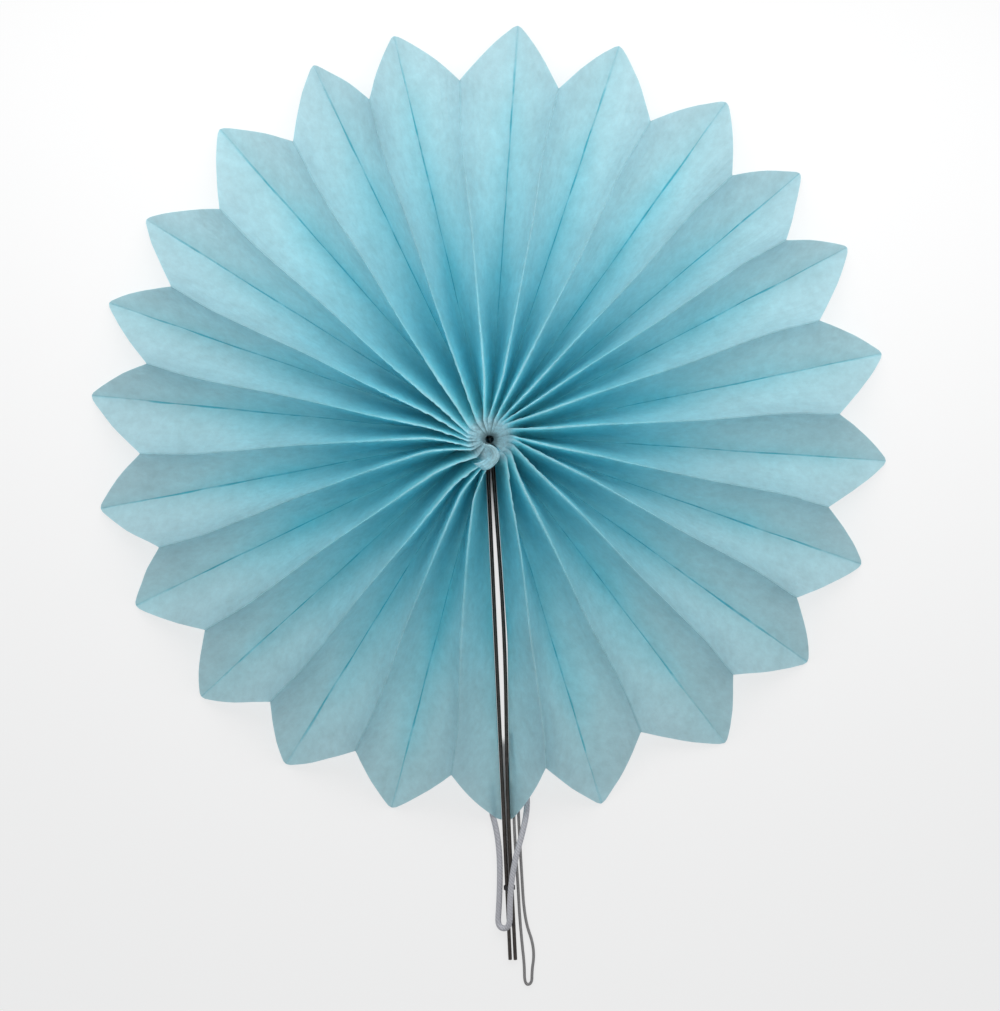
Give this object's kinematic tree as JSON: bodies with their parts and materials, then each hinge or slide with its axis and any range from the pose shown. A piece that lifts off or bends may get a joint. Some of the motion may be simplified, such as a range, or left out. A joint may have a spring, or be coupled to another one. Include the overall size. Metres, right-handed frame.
{
  "type": "paper fan rosette",
  "caption": "Round rosette of pleated tissue leaves with curved petal ends, a packed hub with a curled lip, and steel wires along its seam that carry a tie string and a hanging loop.",
  "frame": {"origin": "on the rosette's axis, in the middle of the hub hole, at the level of the back", "axes": "+Z along the rosette's axis, out of its face; -Y along the seam, towards the wires' free ends and the strings"},
  "size_m": [0.2494, 0.306, 0.0216],
  "materials": {
    "tissue": "matte",
    "wire": "satin",
    "dark_thread": "matte",
    "white_cotton": "matte",
    "grey_cotton": "matte"
  },
  "bodies": {
    "root": {"pleated_paper": "tissue", "left_wire": "wire", "right_wire": "wire", "binding_thread": "dark_thread", "tie_string": "white_cotton", "hanging_loop": "grey_cotton"}
  },
  "joints": []
}
